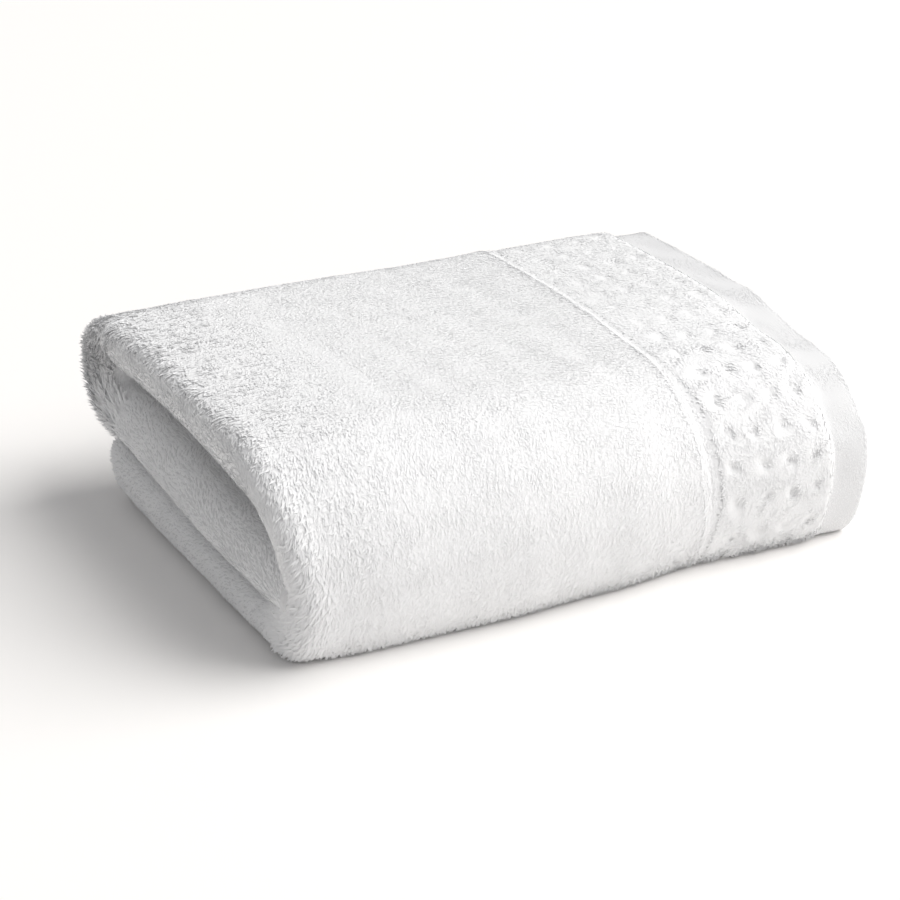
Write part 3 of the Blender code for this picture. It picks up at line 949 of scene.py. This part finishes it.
def cloth_finish():
    """The sheet: ribs along the hem and small loops elsewhere, with painted shade on the hem and where no
    tufts stand on it.
    """
    finish = Finish("terry ground", roughness=MATT)
    here = finish.node("ShaderNodeTexCoord", output=OBJECT_COORDINATES)
    flat = finish.node("ShaderNodeUVMap", uv_map="cloth")
    u = finish.node("ShaderNodeSeparateXYZ", {"Vector": flat}, output=0)
    v = finish.node("ShaderNodeSeparateXYZ", {"Vector": flat}, output=1)
    in_hem = finish.math("LESS_THAN", u, HEM_WIDTH)
    with_pile = finish.math("LESS_THAN", u, MOUTH_END)
    with_pile = with_pile * finish.math("GREATER_THAN", v, V_START) * finish.math("LESS_THAN", v, V_END)
    ribs = finish.math("SINE", u * (2 * math.pi / RIB_PITCH)) * 0.5 + 0.5
    loops = finish.node("ShaderNodeTexVoronoi", {"Vector": here, "Scale": LOOP_SCALE}, feature="F1")
    grain = finish.noise(here, GRAIN_SCALE)
    height = in_hem * (ribs * 0.12 + grain * 0.5) + (1 - in_hem) * (loops + grain * 0.6)
    normal = finish.bump(height, 0.15 * MM, strength=0.6)
    mottle = finish.noise(here, MOTTLE_SCALE)
    white = finish.mix(mottle, COTTON_SHADE, COTTON)
    # painted shade: the bare cloth and the hem take darker copies of the cotton in place of the shade that
    # the pile casts on itself
    colour = finish.mix(with_pile, BARE_COTTON_PAINTED_SHADE, finish.mix(in_hem, white, HEM_COTTON_PAINTED_SHADE))
    return finish.finish(colour, normal)


cloth.data.materials.append(cloth_finish())
print(cloth.data.materials[0].name)

# %% Cotton of the pile
ROOT_COTTON = (0.92, 0.92, 0.925, 1.0)
FACTOR = 2                      # the number of the output with the plain number of an attribute


def pile_finish():
    """The tufts: mottled like the sheet towards their tips, with fine strands."""
    finish = Finish("terry pile", roughness=MATT)
    here = finish.node("ShaderNodeTexCoord", output=OBJECT_COORDINATES)
    tip = finish.node("ShaderNodeAttribute", output=FACTOR, attribute_name="tip")
    strands = finish.noise(here, STRAND_SCALE, detail=1.0)
    normal = finish.bump(strands, 0.05 * MM, strength=0.3)
    mottle = finish.noise(here, MOTTLE_SCALE)
    white = finish.mix(mottle, COTTON_SHADE, COTTON)
    return finish.finish(finish.mix(tip, ROOT_COTTON, white), normal)


pile_cotton = pile_finish()
for piece in pile:
    piece.data.materials.append(pile_cotton)
print(pile_cotton.name, "on", len(pile), "pieces")

# %% [markdown]
# ## The studio
#
# The towel lies on a white floor. A large soft light from the right and a little in front leaves the
# open end in gentle shade and throws a soft shadow to the left, and an even sky fills the rest.

# %% Floor
FLOOR_REACH = 4.0               # metres from the towel to the floor's edges
FLOOR_WHITE = (1.0, 0.982, 0.965, 1.0)


def lay_floor():
    """A flat floor that reaches far past the towel on all sides."""
    bm = bmesh.new()
    bmesh.ops.create_grid(bm, x_segments=1, y_segments=1, size=FLOOR_REACH)
    floor = keep("floor", bm)
    paint = bpy.data.materials.new("white floor")
    paint.use_nodes = True
    shader = paint.node_tree.nodes["Principled BSDF"]
    shader.inputs["Base Color"].default_value = FLOOR_WHITE
    shader.inputs["Roughness"].default_value = 0.9
    floor.data.materials.append(paint)
    return floor


floor = lay_floor()
floor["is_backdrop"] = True
print("floor", round(floor.dimensions.x, 1), "m wide")

# %% Lights


def soft_light(name, azimuth, elevation, distance, size, power, colour=(1.0, 1.0, 1.0)):
    """A square light aimed at the towel's middle. Azimuth turns from +X towards +Y, in degrees."""
    turn, rise = math.radians(azimuth), math.radians(elevation)
    aim = Vector((0, 0, FOLDED_HEIGHT / 2))
    away = Vector((math.cos(turn) * math.cos(rise), math.sin(turn) * math.cos(rise), math.sin(rise)))
    light = bpy.data.lights.new(name, "AREA")
    light.size, light.energy, light.color = size, power, colour
    lamp = bpy.data.objects.new(name, light)
    lamp.location = aim + away * distance
    lamp.rotation_euler = away.to_track_quat("Z", "Y").to_euler()
    bpy.context.scene.collection.objects.link(lamp)
    return lamp


soft_light("key", azimuth=-18, elevation=47, distance=12.0, size=12.0, power=1860,
           colour=(1.0, 0.99, 0.975))
soft_light("front", azimuth=-95, elevation=25, distance=6.0, size=4.0, power=18)
SKY_COLOUR, SKY_STRENGTH = (0.97, 0.98, 1.0, 1.0), 0.32
sky = bpy.data.worlds.new("studio")
sky.use_nodes = True
background = sky.node_tree.nodes["Background"]
background.inputs["Color"].default_value = SKY_COLOUR
background.inputs["Strength"].default_value = SKY_STRENGTH
bpy.context.scene.world = sky
bpy.context.scene.view_settings.view_transform = "Standard"
print("two soft lights and a sky")

# %% [markdown]
# ## The camera
#
# The camera stands where the towel's edges and corners fall where they do in the photo. They were
# measured there, and the place, the angle and the lens that fit them best were worked out. The long
# lens keeps the far end nearly as large as the near end.

# %% Camera
CAMERA_PLACE = (-328.2 * MM, -641.25 * MM, 351.75 * MM)
CAMERA_AZIMUTH = -26.5
CAMERA_ELEVATION = 24.6
LENS = 93.48
SENSOR_WIDTH = 36.0

camera = bpy.data.cameras.new("camera")
camera.lens, camera.sensor_width = LENS, SENSOR_WIDTH
camera.clip_start = 0.01
viewer = bpy.data.objects.new("camera", camera)
viewer.location = CAMERA_PLACE
viewer.rotation_euler = (math.radians(90 - CAMERA_ELEVATION), 0, math.radians(CAMERA_AZIMUTH))
bpy.context.scene.collection.objects.link(viewer)
bpy.context.scene.camera = viewer
print("camera with a", LENS, "mm lens")

# %% [markdown]
# ## Say what each piece is
#
# The sheet stands for the plain solid, and the pile goes with it. Both move as one body.

# %% Hand over
for piece in [cloth, *pile]:
    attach(piece, "root")
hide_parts("towel")
boxes = [[list(corner) for corner in box] for box in (solid_box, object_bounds())]
print("grown by, mm:", [[round((b - a) / MM, 1) for a, b in zip(*ends)] for ends in zip(*boxes)])
